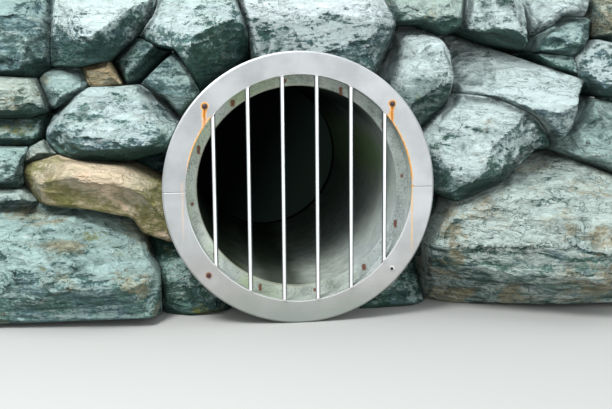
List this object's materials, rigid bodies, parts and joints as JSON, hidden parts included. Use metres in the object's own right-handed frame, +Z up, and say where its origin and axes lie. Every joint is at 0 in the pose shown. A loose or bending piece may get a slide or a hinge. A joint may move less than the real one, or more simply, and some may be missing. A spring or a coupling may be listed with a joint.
{
  "type": "boulder culvert headwall with grated pipe outlet",
  "caption": "Dry-stacked boulder headwall round a concrete pipe outlet, with a bolted steel ring carrying welded upright bars across the mouth.",
  "frame": {"origin": "centre of the bounding box's base, on the level floor, below the pipe's axis", "axes": "+Z up, +X to the right along the wall as seen from the outlet side, +Y into the bank along the pipe"},
  "size_m": [3.4, 2.257, 1.61],
  "materials": {
    "stainless": "satin",
    "concrete": "matte",
    "rusted_bolt": "matte",
    "greenstone": "matte",
    "pale_stone": "matte",
    "ochre_stone": "matte",
    "shaded_stone": "matte"
  },
  "bodies": {
    "root": {"pipe_barrel": "concrete", "ring_upper": "stainless", "ring_lower": "stainless", "grate_bar_1": "stainless", "grate_bar_2": "stainless", "grate_bar_3": "stainless", "grate_bar_4": "stainless", "grate_bar_5": "stainless", "grate_bar_6": "stainless", "anchor_bolts": "rusted_bolt", "left_top_stone": "greenstone", "slate_stone": "greenstone", "pyramid_stone": "greenstone", "wedge_stone": "greenstone", "left_side_stone": "greenstone", "left_foot_stone": "greenstone", "bank_stone": "greenstone", "edge_stone": "greenstone", "veined_stone": "greenstone", "round_stone": "greenstone", "right_foot_stone": "greenstone", "left_back_foot": "greenstone", "left_back_stone": "greenstone", "left_back_chock": "greenstone", "right_back_foot": "greenstone", "right_back_stone": "greenstone", "right_back_chock": "greenstone", "crown_stone": "pale_stone", "white_stone": "pale_stone", "ledge_stone": "pale_stone", "beige_stone": "pale_stone", "thin_slab": "pale_stone", "lichen_stone": "pale_stone", "shoulder_stone": "pale_stone", "long_stone": "pale_stone", "peak_stone": "pale_stone", "upper_right_stone": "pale_stone", "chink_stones": "pale_stone", "ochre_stone": "ochre_stone", "brown_stone": "ochre_stone", "shadow_stone": "shaded_stone", "green_slab": "shaded_stone", "left_chock": "shaded_stone", "haunch_stone": "shaded_stone", "right_chock": "shaded_stone"}
  },
  "joints": []
}
